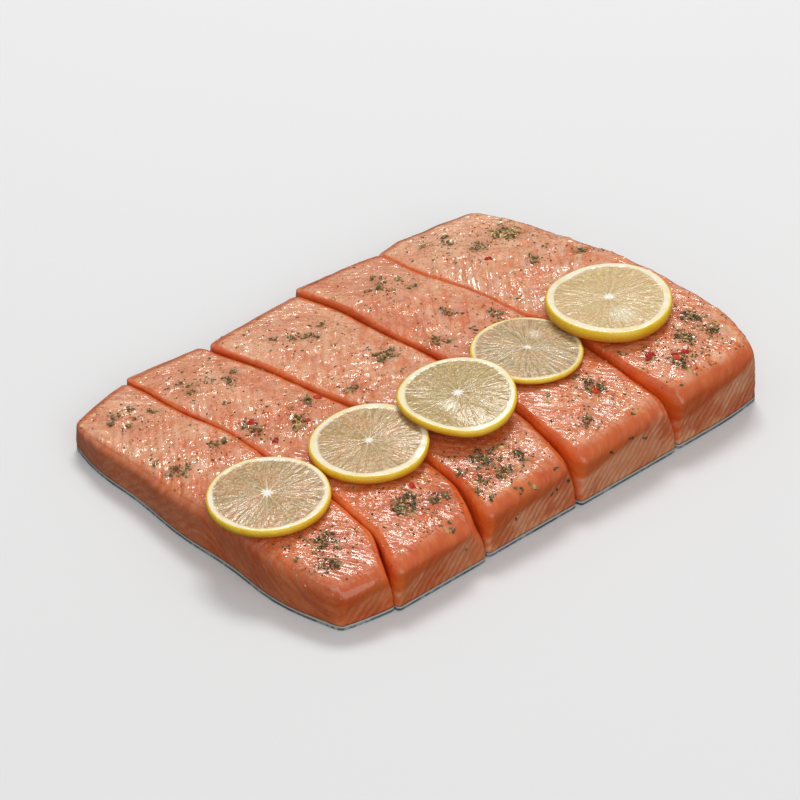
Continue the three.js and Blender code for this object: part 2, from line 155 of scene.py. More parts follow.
FLAKE_SPACING = 2.8
FLAKE_SLICE_CLEARANCE = 3.6
FLAKE_CUT_CLEARANCE = 6
FLAKE_END_CLEARANCE = 13
FLAKE_SEED = 101


def smooth(share):
    return share * share * (3 - 2 * share)


def ease(value, low, high):
    return smooth(np.clip((value - low) / (high - low), 0, 1))


def mix(a, b, share):
    return a + (b - a) * share


def across_side(y):
    return np.clip((y - BACK_Y) / (BELLY_Y - BACK_Y), 0, 1)


def cut_x(cut, t):
    after = np.clip(np.searchsorted(CUT_STATIONS, t), 1, len(CUT_STATIONS) - 1)
    start, end = CUT_STATIONS[after - 1], CUT_STATIONS[after]
    x = np.array(cut["x"], float)
    wave = CUT_WAVE * np.sin(t * (BELLY_Y - BACK_Y) / CUT_WAVE_LENGTH + cut["x"][0])
    return mix(x[after - 1], x[after], smooth((t - start) / (end - start))) + wave


def faces_at(index, t, level=1):
    head = CUTS[index + 1]
    fading = np.maximum(0, 1 - t / DRAWN_BACK_SHARE) ** 2
    drawn = head["drawn_back"] * ease(level, DRAWN_BACK_FROM, 1) * fading
    return cut_x(CUTS[index], t) + CUT_GAP / 2, cut_x(head, t) - CUT_GAP / 2 - drawn


def height_share(t):
    back = 1 - BACK_DROP * (1 - t / RIDGE) ** 2
    belly = 1 - BELLY_DROP * (np.maximum(t - RIDGE, 0) / (1 - RIDGE)) ** BELLY_CURVE
    return np.where(t < RIDGE, back, belly)


def top_height(index, x, y):
    portion = PORTIONS[index]
    t = across_side(y)
    tail_x, head_x = faces_at(index, t)
    across = np.clip((2 * x - tail_x - head_x) / (head_x - tail_x), -1, 1)
    share = height_share(t) * (1 - portion["dome"] * across**2) * (1 - portion["lean"] * (1 - across) / 2)
    waves = np.sin(y / LUMP_LENGTH_Y + portion["phase"]) * np.cos(x / LUMP_LENGTH_X + portion["phase"])
    height = portion["thick"] * share + LUMP * waves
    if index == SLOPE["portion"]:
        sloped = ease(t, SLOPE["start"], SLOPE["full"])
        height = height - SLOPE["drop"] * sloped * np.maximum(0, 1 - (x - tail_x) / SLOPE["width"])
    return height


def block_half_width(index):
    return (CUTS[index + 1]["x"][1] - CUTS[index]["x"][1]) / 2


def rounded_block(index, block):
    """The block's points with its edges rounded, and how far each is into the rounding along X and Y."""
    half_width = block_half_width(index)
    x, y, z = block.T
    t = (y + BLOCK_HALF_LENGTH) / (2 * BLOCK_HALF_LENGTH)
    from_back = ease(t, 0, ROUND_SHARE)[:, None]
    from_belly = ease(1 - t, 0, ROUND_BELLY_SHARE)[:, None]
    to_head = smooth((x / half_width + 1) / 2)[:, None]
    sides = [TAIL if index > 0 else THIN, HEAD if index < len(PORTIONS) - 1 else OPEN]
    tail, head = [
        mix(ROUND_BACK[side], mix(ROUND_ELSEWHERE[OPEN], ROUND_ELSEWHERE[side], from_belly), from_back)
        for side in sides
    ]
    reach = mix(tail, head, to_head)
    reach[:, :2] *= mix(ROUND_LEFT_AT_BASE, 1, smooth(z / BLOCK_HEIGHT))[:, None]
    core = np.array([half_width, BLOCK_HALF_LENGTH, BLOCK_HEIGHT]) - reach
    point = np.stack([abs(x), abs(y), z], 1)
    past = np.maximum(point - core, 0) / reach
    length = (past**ROUND_POWER).sum(1) ** (1 / ROUND_POWER)
    shrink = np.where(length > 0, past.max(1) / np.maximum(length, 1e-9), 1)[:, None]
    rounded = np.minimum(point, core) + past * shrink * reach
    return rounded * np.stack([np.sign(x), np.sign(y), np.ones_like(x)], 1), past


def flesh_points(index, block):
    portion = PORTIONS[index]
    rounded, past = rounded_block(index, block)
    bx, by, bz = rounded.T
    along_width = bx / block_half_width(index)
    belly = BELLY_Y + portion["belly"] + portion["slant"] * along_width
    plain_y = mix(BACK_Y + portion["back"], belly, (by + BLOCK_HALF_LENGTH) / (2 * BLOCK_HALF_LENGTH))
    tail_x, head_x = faces_at(index, across_side(plain_y), bz / BLOCK_HEIGHT)
    plain_x = mix(tail_x, head_x, (along_width + 1) / 2)
    x, y = plain_x, plain_y
    for corner in [one for one in CORNERS if one["portion"] == index]:
        in_x = -math.copysign(math.sqrt(0.5), corner["x"])
        in_y = -math.copysign(math.sqrt(0.5), corner["y"])
        depth = (x - corner["x"]) * in_x + (y - corner["y"]) * in_y
        push = corner["trim"] * np.maximum(0, 1 - np.maximum(depth, 0) / corner["reach"]) ** 2
        x = x + in_x * push
        y = y + in_y * push
    top = top_height(index, plain_x, plain_y)
    return np.stack([x, y, mix(FLESH_BASE, top, bz / BLOCK_HEIGHT)], 1), past, top


def portion_at(x, y):
    t = across_side(y)
    found = np.full(np.shape(x), -1)
    for index in range(len(PORTIONS)):
        inside = (x >= cut_x(CUTS[index], t)) & (x <= cut_x(CUTS[index + 1], t))
        found = np.where(inside & (found < 0), index, found)
    return found


def support_height(x, y, laid):
    found = portion_at(x, y)
    z = np.zeros(np.shape(x))
    for index in range(len(PORTIONS)):
        z = np.where(found == index, top_height(index, x, y) + SLICE_GAP, z)
    for one in laid:
        under = np.hypot(x - one["x"], y - one["y"]) < one["radius"] + REST_MARGIN
        z = np.where(under, np.maximum(z, rest_at(one, x, y) + one["thick"] + SLICE_GAP), z)
    return z


def settle(piece, laid):
    """Finds how a slice tilts and what it rests on."""
    reach = piece["radius"] * REST_RINGS[:, None]
    dx = np.append(0, reach * np.cos(SIDE_ANGLES))
    dy = np.append(0, reach * np.sin(SIDE_ANGLES))
    z = support_height(piece["x"] + dx, piece["y"] + dy, laid)
    dx, dy, z = dx[z > 0], dy[z > 0], z[z > 0]
    slope_x, slope_y = [((z - z.mean()) * d).sum() / (d**2).sum() for d in (dx, dy)]
    piece["tilt"] = (slope_x, slope_y)
    piece["rests"] = (dx, dy, z - slope_x * dx - slope_y * dy)


def rest_at(piece, x, y):
    dx = np.asarray(x - piece["x"], float)
    dy = np.asarray(y - piece["y"], float)
    rest_x, rest_y, rise = piece["rests"]
    gap = (dx[..., None] - rest_x) ** 2 + (dy[..., None] - rest_y) ** 2
    return piece["tilt"][0] * dx + piece["tilt"][1] * dy + (rise - SLICE_BEND * gap).max(-1)


def slice_reach(piece, angle):
    turned = angle - SLICE_TURN
    return piece["radius"] * (1 + piece["oval"] * np.cos(2 * turned) + piece["egg"] * np.cos(3 * turned))


def flake_places():
    """The larger flakes' places, drawn from the same numbers as in the source."""
    state = FLAKE_SEED

    def draw():
        nonlocal state
        state = (state * 1664525 + 1013904223) % 2**32
        return state / 2**32

    places = []
    for patch_x, patch_y, reach, wanted in PATCHES:
        left = wanted
        for _ in range(wanted * TRIES_PER_FLAKE):
            if left == 0:
                break
            distance = reach * math.sqrt(draw())
            direction = 2 * math.pi * draw()
            turn = math.pi * draw()
            size = mix(*FLAKE_SIZES, draw())
            x = patch_x + distance * math.cos(direction)
            y = patch_y + distance * math.sin(direction)
            if not fits_on_top(x, y, FLAKE_CUT_CLEARANCE, FLAKE_END_CLEARANCE, FLAKE_SLICE_CLEARANCE):
                continue
            if any(math.hypot(x - p["x"], y - p["y"]) <= FLAKE_SPACING for p in places):
                continue
            places.append({"x": x, "y": y, "turn": turn, "size": size})
            left -= 1
    return places


def slice_distance(x, y):
    return np.min([np.hypot(x - one["x"], y - one["y"]) - one["radius"] for one in SLICES], axis=0)


def fits_on_top(x, y, from_cuts, from_ends, from_slices):
    t = across_side(y)
    clear_of_cuts = False
    for index in range(len(PORTIONS)):
        tail_x, head_x = faces_at(index, t)
        clear_of_cuts = clear_of_cuts or min(x - tail_x, head_x - x) > from_cuts
    clear_of_ends = min(y - BACK_Y, BELLY_Y - y) > from_ends
    return clear_of_cuts and clear_of_ends and slice_distance(x, y) > from_slices


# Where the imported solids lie, compared with these coordinates
box_low, box_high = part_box("lemon_slice_5")
last = SLICES[-1]
rim_x = last["x"] + slice_reach(last, SIDE_ANGLES) * np.cos(SIDE_ANGLES)
rim_y = last["y"] + slice_reach(last, SIDE_ANGLES) * np.sin(SIDE_ANGLES)
SHIFT = np.array([
    (box_low.x + box_high.x) / 2 / MM - (rim_x.min() + rim_x.max()) / 2,
    (box_low.y + box_high.y) / 2 / MM - (rim_y.min() + rim_y.max()) / 2,
    0,
])


def lattice_noise(points, cell, seed):
    """Smooth random numbers from -1 to 1 that change over about one cell."""
    scaled = points / cell
    low = np.floor(scaled).astype(np.int64)
    part = smooth(scaled - low)
    total = np.zeros(len(points))
    for corner in np.ndindex(2, 2, 2):
        at = low + corner
        mixed = at[:, 0] * 374761393 + at[:, 1] * 668265263 + at[:, 2] * 974634777 + seed * 144665
        mixed = (mixed ^ (mixed >> 13)) * 1274126177
        value = ((mixed ^ (mixed >> 16)) & 0xFFFF) / 32767.5 - 1
        weight = np.prod(np.where(np.array(corner) == 1, part, 1 - part), axis=1)
        total += weight * value
    return total


def mixed_noise(points, *layers):
    """Layers of noise added up, each given by its strength, cell and seed."""
    return sum(strength * lattice_noise(points, cell, seed) for strength, cell, seed in layers)


def bands(rings):
    """The faces between each ring of points and the next one up or in."""
    faces = []
    for lower, upper in zip(rings, rings[1:]):
        for k in range(len(lower)):
            after = (k + 1) % len(lower)
            faces.append((lower[k], lower[after], upper[after], upper[k]))
    return faces


def new_piece(name, points, faces, attributes, flat_last=False):
    """A smooth mesh object from points in millimetres, with one number or vector per point and name."""
    mesh = bpy.data.meshes.new(name)
    mesh.from_pydata(((points + SHIFT) * MM).tolist(), [], faces)
    for key, values in attributes.items():
        kind = "FLOAT_VECTOR" if values.ndim == 2 else "FLOAT"
        layer = mesh.attributes.new(key, kind, "POINT")
        field = "vector" if values.ndim == 2 else "value"
        layer.data.foreach_set(field, values.astype(np.float32).ravel())
    mesh.polygons.foreach_set("use_smooth", np.ones(len(mesh.polygons), bool))
    if flat_last:
        mesh.polygons[-1].use_smooth = False
    mesh.update()
    piece = bpy.data.objects.new(name, mesh)
    bpy.context.scene.collection.objects.link(piece)
    return piece


# Flesh: a fine grid in the same form, with the muscle's segments and streaks in relief
GRID_STEP = 0.6
WALL_STEP = 1.1
VISIBLE_BASE = 2.03
SEGMENT_LENGTH = 4.5
SEGMENT_WALL_LEAN = 0.95
SEGMENT_WARP = 0.36
SEGMENT_BENDS_Y = [-97, -80, -8, 66, 96]
SEGMENT_BENDS_X = [62, 56, 0, 52, 30]
SEGMENT_BEND_ROUNDING = 5
GROOVE_WIDTH = 0.13
# How much each kind of form adds to the relief, in millimetres
TOP_LUMPS = 0.95
TOP_FINE = 0.12
TOP_STREAKS = 0.24
TOP_GROOVES = 0.07
BELLY_GROOVES = 0.3
WALL_LUMPS = 0.35
WALL_FINE = 0.03
CREASE_DEPTH = 0.32
CREASE_RIBS = 0.1
RELIEF_MOST = 0.7
RELIEF_UNDER_SLICE = 0.2
# Where a block's rounded edge turns into a cut, into an open end and into the back or belly face
CUT_EASE = (0.12, 0.62)
END_EASE = (0.6, 1.2)
WALL_EASE = (0.2, 0.9)
# Where along the way from back to belly the belly's looks set in
PALE_EASE = (0.15, 0.5)
BELLY_EASE = (0.42, 0.6)
FADE_EASE = (0.55, 0.9)
STAIN_REACH = 3.4
STAIN_SEARCH = 12
STAIN_LOWEST = 12
SEAM_GLOW_REACH = 4.2
OPEN_END_OFFSET = 9
# How pale and how lined each portion is; the first portion's wall gets few pale lines, which darkens it as
# painted shade
PALE_BACK = [0.2, 0.05, 0.4, 0.6, 0.65]
PALE_BELLY = [0.8, 0.6, 0.9, 0.6, 1]
LINES_AND_PAINTED_SHADE = [0.3, 0.6, 0.9, 0.9, 1]
END_LINED = 0.2
# The crease along the back faces: the x of its ends on each portion, and how high they are
CREASES = [
    [(-131, -98), (6, 16)],
    [(-98, -40), (10, 23)],
    [(-46, 10), (9, 24)],
    [(8, 70), (14, 26)],
    [(66, 132), (13, 26)],
]


def segment_offset(y):
    nearby = [y + step * SEGMENT_BEND_ROUNDING for step in (-1, -0.5, 0, 0.5, 1)]
    return sum(np.interp(one, SEGMENT_BENDS_Y, SEGMENT_BENDS_X) for one in nearby) / len(nearby)


def grid_normals(points, faces):
    normals = np.zeros_like(points)
    quads = np.array(faces)
    a, b, c, d = (points[quads[:, k]] for k in range(4))
    face_normals = np.cross(c - a, d - b)
    for k in range(4):
        np.add.at(normals, quads[:, k], face_normals)
    return normals / np.maximum(np.linalg.norm(normals, axis=1), 1e-9)[:, None]


def block_grid(half_width):
    """A block as a fine grid on its top and rings of points down its walls, with its lowest ring."""
    xs = np.linspace(-half_width, half_width, round(2 * half_width / GRID_STEP) + 1)
    ys = np.linspace(-BLOCK_HALF_LENGTH, BLOCK_HALF_LENGTH, round(2 * BLOCK_HALF_LENGTH / GRID_STEP) + 1)
    zs = np.linspace(0, BLOCK_HEIGHT, round(BLOCK_HEIGHT / WALL_STEP) + 1)
    row, last_x, last_y = len(ys), len(xs) - 1, len(ys) - 1
    top_x, top_y = np.meshgrid(xs, ys, indexing="ij")
    top = np.stack([top_x.ravel(), top_y.ravel(), np.full(top_x.size, BLOCK_HEIGHT)], 1)
    border = [(i, 0) for i in range(last_x)] + [(last_x, j) for j in range(last_y)]
    border += [(last_x - i, last_y) for i in range(last_x)] + [(0, last_y - j) for j in range(last_y)]
    edge = [i * row + j for i, j in border]
    levels = [np.column_stack([top[edge, :2], np.full(len(edge), z)]) for z in zs[:-1]]
    starts = [len(top) + level * len(edge) for level in range(len(levels))]
    rings = [range(start, start + len(edge)) for start in starts]
    corners = [i * row + j for i in range(last_x) for j in range(last_y)]
    faces = [(at, at + row, at + row + 1, at + 1) for at in corners]
    return np.concatenate([top, *levels]), faces + bands(rings + [edge]), rings[0]


flakes = flake_places()


def flesh_piece(index):
    half_width = block_half_width(index)
    block, faces, lowest = block_grid(half_width)
    points, past, top_z = flesh_points(index, block)
    points[:, 2] = np.where(block[:, 2] == 0, VISIBLE_BASE, points[:, 2])
    normals = grid_normals(points, faces)
    faces.append(tuple(reversed(lowest)))

    # Which part of the surface each point is on
    x, y, z = points.T
    depth = np.maximum(top_z - z, 0)
    t = across_side(y)
    at_end = np.where(block[:, 0] < 0, index == 0, index == len(PORTIONS) - 1)
    cut = np.where(at_end, ease(past[:, 0], *END_EASE), ease(past[:, 0], *CUT_EASE))
    back_wall = np.where(block[:, 1] < 0, ease(past[:, 1], *WALL_EASE), 0)
    belly_wall = np.where(block[:, 1] > 0, ease(past[:, 1], *WALL_EASE), 0)
    is_top = (1 - cut) * (1 - back_wall) * (1 - belly_wall)
    belly_half = ease(t, *BELLY_EASE)
    crease = np.interp(x, *CREASES[index]) + 1.6 * lattice_noise(points, 12, 6)
    crease += 0.5 * lattice_noise(points, 4, 16)
    below_crease = back_wall * ease(crease - z, -1.2, 2)
    near_slice = slice_distance(x, y)

    # The muscle's segments and the relief
    across_segments = x - segment_offset(y) + SEGMENT_WALL_LEAN * depth
    warp = mixed_noise(points, (1, 14, 3), (0.6, 5.5, 4), (0.25, 2.6, 5))
    phase = across_segments / SEGMENT_LENGTH + SEGMENT_WARP * warp
    groove = np.exp(-((np.abs(phase - np.round(phase)) / GROOVE_WIDTH) ** 2))
    patchy = ease(lattice_noise(points, 19, 7), -0.5, 0.5)
    streak_space = np.stack([across_segments, y * 0.16 + depth * 0.1, z * 0.3], 1)
    streaks = lattice_noise(streak_space, 1.7, 8) * ease(lattice_noise(points, 7, 14), -0.6, 0.5)
    lumps = mixed_noise(points, (0.55, 10, 11), (0.35, 4.6, 12))
    fine = lattice_noise(points, 2.1, 13)
    relief = is_top * (TOP_LUMPS * lumps + TOP_FINE * fine + TOP_STREAKS * streaks)
    relief -= is_top * groove * (TOP_GROOVES + BELLY_GROOVES * belly_half * patchy**2)
    relief += (1 - is_top) * (WALL_LUMPS * lumps + WALL_FINE * fine)
    relief -= below_crease * (CREASE_DEPTH + CREASE_RIBS * np.cos(2 * math.pi * phase))
    most = mix(RELIEF_UNDER_SLICE, RELIEF_MOST, ease(near_slice, -1, 4) * is_top)
    relief = np.minimum(relief, most) * ease(z - FLESH_BASE, 0, 2.5)
    points = points + normals * relief[:, None]

    # What the colours follow
    stain = np.zeros(len(points))
    for one in flakes:
        if abs(one["x"] - x.mean()) < half_width + STAIN_SEARCH:
            stain += np.exp(-((x - one["x"]) ** 2 + (y - one["y"]) ** 2) / STAIN_REACH**2)
    pale = mix(PALE_BACK[index], PALE_BELLY[index], ease(t, *PALE_EASE))
    pale += 0.4 * lattice_noise(points, 13, 17)
    pale += 0.2 * lattice_noise(points, 5, 18)
    tail_x, head_x = faces_at(index, t)
    open_tail, open_head = [OPEN_END_OFFSET * (index == end) for end in (0, len(PORTIONS) - 1)]
    from_cut = np.minimum(x - tail_x + open_tail, head_x - x + open_head)
    from_cut += 1.6 * lattice_noise(points, 8, 19)
    lined = LINES_AND_PAINTED_SHADE[index] * np.clip(below_crease + 0.35 * belly_wall, 0, 1)
    attributes = {
        "cut": cut,
        # Painted glow: how much brighter orange the flesh is painted beside the cuts and the open ends
        "seam_glow": ease(-from_cut, -SEAM_GLOW_REACH, -0.5) * mix(1, 0.5, belly_half),
        "lined": np.maximum(lined, END_LINED * at_end * cut),
        "faded": is_top * ease(t, *FADE_EASE),
        "wall": np.clip(back_wall + belly_wall, 0, 1),
        # Less pale within a few millimetres of the lemon slices: painted shade under their edges, and
        # wetter flesh there
        "pale": np.clip(is_top * pale * ease(near_slice, -2, 5), 0, 1),
        "phase": phase,
        "stain": np.clip(stain, 0, 1) * (z > STAIN_LOWEST),
        "fibre": np.stack([across_segments, y, z], 1),
    }
    piece = new_piece(f"flesh_{index + 1}", points, faces, attributes, flat_last=True)
    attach(piece, "root")
    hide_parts(f"portion_{index + 1}")
    return piece


flesh_pieces = [flesh_piece(index) for index in range(len(PORTIONS))]

# Lemon slices: a rind, a white pith, and pulp in segments round a white core
# Each slice's list of painted sparkle spots on the pulp gives x, y and reach
SLICE_ROWS = table("name segments turn pith core seed tint rays frost pulp deep wall white yellow", [
    ("lemon_slice_1", 10, 0.22, 1.7, 2.6, 21, 0.35, 0.45, [],
     (184, 153, 98), (154, 117, 68), (224, 205, 156), (238, 228, 204), (236, 188, 30)),
    ("lemon_slice_2", 9, 0.1, 2.5, 1.7, 22, 0.35, 0.35, [],
     (193, 162, 106), (161, 123, 72), (224, 208, 160), (238, 228, 200), (236, 188, 30)),
    ("lemon_slice_3", 10, 0.6, 2.1, 2.1, 23, 0.1, 0.35, [(-8, -4, 5)],
     (184, 157, 88), (155, 124, 64), (214, 196, 144), (238, 232, 206), (238, 196, 40)),
    ("lemon_slice_4", 9, 0.9, 0.9, 1.4, 24, 0.3, 0.15, [(10, 6, 5)],
     (206, 178, 128), (138, 114, 78), (206, 182, 134), (232, 220, 182), (236, 200, 84)),
    ("lemon_slice_5", 10, 0.2, 2.8, 2.3, 25, 0.18, 0.35, [(-6, -14, 9)],
     (214, 186, 128), (186, 154, 98), (230, 212, 164), (240, 232, 210), (238, 196, 16)),
])
SLICE_LOOKS = {row["name"]: row for row in SLICE_ROWS}
SLICE_ANGLES = 480
RIND_TOP = 1.1
RIND_FADE = 1.9
SLICE_SECTION = [
    (0.3, 0), (0.6, 0), (0.8, 0), (0.9, 0), (0.94, 0), (0.965, 0.06), (0.985, 0.15), (0.997, 0.27),
    (1, 0.4), (1, 0.6), (0.997, 0.74), (0.99, 0.86), (0.98, 0.94), (0.968, 0.985), (0.955, 1),
]
SLICE_TOP_SHARES = np.concatenate([np.arange(0.94, 0.06, -0.018), [0.045, 0.02]])
MEMBRANE = 0.12
MEMBRANE_FADE = 8
SEGMENT_ROUNDING = 0.55
WALL_SCATTER = 0.2
CENTRE_SCATTER = 0.6
CELLS_AROUND = 17
PULP_DIP = 0.14
PULP_CELLS = 0.12
PITH_ROUGH = 0.07
RIM_ROUGH = 0.12
SLICE_SMOOTHING = [(0, 0), (3, 0), (-3, 0), (0, 3), (0, -3), (2, 2), (-2, 2), (2, -2), (-2, -2)]
SLICE_MARKS = ("pulp", "pith", "core", "rind", "low", "frost")


def slice_piece(piece):
    looks = SLICE_LOOKS[piece["name"]]
    stream = np.random.default_rng(looks["seed"])
    angles = 2 * math.pi * np.arange(SLICE_ANGLES) / SLICE_ANGLES
    section = SLICE_SECTION + [(share, 1) for share in SLICE_TOP_SHARES]
    share, rise = np.append(np.repeat(section, SLICE_ANGLES, axis=0), [(0, 0), (0, 1)], axis=0).T
    angle = np.append(np.tile(angles, len(section)), [0, 0])
    reach = slice_reach(piece, angle) * share
    x = piece["x"] + reach * np.cos(angle)
    y = piece["y"] + reach * np.sin(angle)
    z = sum(rest_at(piece, x + dx, y + dy) for dx, dy in SLICE_SMOOTHING) / len(SLICE_SMOOTHING)
    z = z + rise * piece["thick"]

    rim = slice_reach(piece, angle)
    even = 2 * math.pi * np.arange(looks["segments"]) / looks["segments"]
    walls = looks["turn"] + even + stream.uniform(-WALL_SCATTER, WALL_SCATTER, looks["segments"])
    centre = stream.uniform(-CENTRE_SCATTER, CENTRE_SCATTER, 2)
    px, py = reach * np.cos(angle) - centre[0], reach * np.sin(angle) - centre[1]
    radius = np.hypot(px, py)
    around = np.arctan2(py, px)
    bend = 0.05 * np.sin(radius / 5 + looks["seed"])
    gap = np.abs((around[:, None] + bend[:, None] - walls + math.pi) % (2 * math.pi) - math.pi)
    to_wall = radius * np.sin(np.minimum(gap.min(1), math.pi / 2)) - MEMBRANE
    wobble = 0.35 * np.sin(3 * around + looks["seed"]) + 0.25 * np.sin(7 * around)
    to_pith = rim - RIND_TOP - looks["pith"] + wobble - reach
    core_size = looks["core"] * (0.75 + 0.25 * np.cos(looks["segments"] * (around - looks["turn"])))
    to_core = radius - core_size
    gaps = np.stack([to_wall, to_pith, to_core], 1) / SEGMENT_ROUNDING
    inside = -SEGMENT_ROUNDING * np.log(np.exp(-np.clip(gaps, -30, 30)).sum(1))
    pulp = ease(inside, -0.3, 0.3) * (rise > 0.9)
    pith = 1 - ease(to_pith, -0.2, 0.7)
    core = 1 - ease(to_core, -0.2, 0.8)
    rays = np.exp(-np.maximum(to_core, 0) / MEMBRANE_FADE) * (1 - ease(to_wall, 0, 0.45))

    spoke = np.stack([np.cos(around) * CELLS_AROUND, np.sin(around) * CELLS_AROUND, radius * 0.2], 1)
    cells = lattice_noise(spoke, 1, looks["seed"]) + 0.6 * lattice_noise(spoke * 2.3, 1, looks["seed"] + 1)
    rough = lattice_noise(np.stack([x, y, np.zeros_like(x)], 1), 3, 5)
    dip = (rise > 0.99) * (-PULP_DIP * pulp + pulp * PULP_CELLS * cells + PITH_ROUGH * (1 - pulp) * rough)
    side = RIM_ROUGH * lattice_noise(np.stack([x, y, z], 1), 2.4, 9) * (share > 0.99)
    x = x + side * np.cos(angle)
    y = y + side * np.sin(angle)
    z = z + dip
    # Painted sparkle: a whitish patch round each listed spot on the pulp, standing in for highlights
    frost = np.zeros_like(x)
    for spot_x, spot_y, spot_reach in looks["frost"]:
        frost = np.maximum(frost, 1 - np.hypot(px - spot_x, py - spot_y) / spot_reach)

    rings = [range(level * SLICE_ANGLES, (level + 1) * SLICE_ANGLES) for level in range(len(section))]
    faces = bands(rings)
    bottom_centre = len(section) * SLICE_ANGLES
    for k in range(SLICE_ANGLES):
        after = (k + 1) % SLICE_ANGLES
        faces.append((after, k, bottom_centre))
        faces.append((rings[-1][k], rings[-1][after], bottom_centre + 1))
    rind = np.where(rise < 0.99, 1, ease(reach - rim + 0.3 * wobble, -RIND_FADE, 0.1)) * (share > 0.8)
    core = np.clip(core + looks["rays"] * rays, 0, 1)
    # How far down the rind's side a point is; the side is painted darker and more orange towards its foot
    # as painted shade
    low = (1 - rise) * (share > 0.9)
    attributes = dict(zip(SLICE_MARKS, (pulp, pith, core, rind, low, np.clip(frost, 0, 1))))
    attributes["spoke"] = np.stack([np.cos(around), np.sin(around), radius / piece["radius"]], 1)
    made = new_piece(f"slice_{piece['name'][-1]}", np.stack([x, y, z], 1), faces, attributes)
    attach(made, "root")
    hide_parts(piece["name"])
    return made


laid = []
slice_pieces = {}
for plain in SLICES:
    settle(plain, laid)
    slice_pieces[plain["name"]] = slice_piece(plain)
    laid.append(plain)

# What the marinade lies on
REACH_ABOVE = 80
surface_points = []
surface_faces = []
for piece in flesh_pieces + list(slice_pieces.values()):
    start = len(surface_points)
    surface_points += [v.co / MM - Vector(SHIFT) for v in piece.data.vertices]
    corners = [p.vertices for p in piece.data.polygons if len(p.vertices) < 5]
    surface_faces += [tuple(start + k for k in one) for one in corners]
surface = BVHTree.FromPolygons(surface_points, surface_faces)


def drop_on_top(x, y):
    return surface.ray_cast(Vector((x, y, REACH_ABOVE)), Vector((0, 0, -1)))[:2]


def push_on_back(x, z):
    return surface.ray_cast(Vector((x, BACK_Y - REACH_ABOVE, z)), Vector((0, 1, 0)))[:2]


# A leaf's outline and inner rings, with how high each stands, and its foot, which is out of sight
LEAF_RINGS = [(1, 0.12), (0.62, 0.75), (0.25, 1)]
LEAF_FOOT = 0.93
LEAF_DEPTH = 0.35
LEAF_JAG = (0.72, 1.08)
LEAF_SKEW = 0.16
LEAF_LIFT = (0.6, 1.1)
LEAF_RIM_LIFT = 0.3
# A grain's upper and middle ring, its foot, its width and how uneven it is
GRAIN_RINGS = [(0.8, 0.6), (1, -0.1)]
GRAIN_FOOT = -0.6
GRAIN_WIDTH = 0.8
GRAIN_UNEVEN = (0.75, 1.2)


class Bits:
    """Many small closed shapes gathered into one piece."""

    def __init__(self, seed):
        self.stream = np.random.default_rng(seed)
        self.points = []
        self.faces = []
        self.shades = []
        self.count = 0

    def add(self, points, faces, place, normal, turn, shade):
        if place is None:
            return
        normal = Vector(normal).normalized()
        side = normal.orthogonal().normalized()
        if abs(normal.z) > 0.3:
            side = (Vector((1, 0, 0)) - normal * normal.x).normalized()
        other = normal.cross(side)
        axes = np.array([
            side * math.cos(turn) + other * math.sin(turn),
            other * math.cos(turn) - side * math.sin(turn),
            normal,
        ])
        self.points.append(points @ axes + np.array(place))
        self.faces += [tuple(self.count + k for k in face) for face in faces]
        self.shades.append(np.full(len(points), shade))
        self.count += len(points)

    def leaf(self, place, normal, turn, length, width, height, shade, outline=9):
        """A crumpled leaf flake, thin at its edge and standing up in the middle."""
        draw = self.stream
        step = 2 * math.pi / outline
        upper = []
        jag = draw.uniform(*LEAF_JAG, outline)
        for share, rise in LEAF_RINGS:
            for k in range(outline):
                angle = k * step + draw.uniform(-LEAF_SKEW, LEAF_SKEW)
                uneven = jag[k] if share == 1 else 1
                lift = rise * draw.uniform(*LEAF_LIFT)
                lift += LEAF_RIM_LIFT * draw.random() if share == 1 else 0
                px = length * share * uneven * math.cos(angle)
                py = width * share * uneven * math.sin(angle)
                upper.append((px, py, height * lift))
        upper.append((0, 0, height * draw.uniform(0.75, 1)))
        lower = [(px * LEAF_FOOT, py * LEAF_FOOT, -LEAF_DEPTH) for px, py, _ in upper[:outline]]
        rings = [range(level * outline, (level + 1) * outline) for level in range(len(LEAF_RINGS))]
        tip = len(upper) - 1
        foot = range(tip + 1, tip + 1 + outline)
        faces = bands(rings) + [tuple(reversed(foot))]
        for k in range(outline):
            after = (k + 1) % outline
            faces.append((rings[-1][k], rings[-1][after], tip))
            # The sides below the rim face inward.
            faces.append((foot[k], rings[0][k], rings[0][after], foot[after]))
        self.add(np.array(upper + lower), faces, place, normal, turn, shade)

    def lump(self, place, normal, turn, size, flatness, shade):
        """A small rough grain."""
        uneven = self.stream.uniform(*GRAIN_UNEVEN, (14, 1))
        points = [(0, 0, 1)] + [
            (math.cos(a) * c, math.sin(a) * c, h)
            for c, h in GRAIN_RINGS
            for a in np.arange(6) * math.pi / 3
        ] + [(0, 0, GRAIN_FOOT)]
        points = np.array(points) * uneven * [size, size * GRAIN_WIDTH, size * flatness]
        faces = []
        for k in range(6):
            after = (k + 1) % 6
            faces.append((0, 1 + k, 1 + after))
            faces.append((1 + k, 7 + k, 7 + after, 1 + after))
            faces.append((7 + k, 13, 7 + after))
        self.add(points, faces, place, normal, turn, shade)

    def piece(self, name, slot):
        points = np.concatenate(self.points)
        made = new_piece(name, points, self.faces, {"shade": np.concatenate(self.shades)})
        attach(made, "root")
        return made


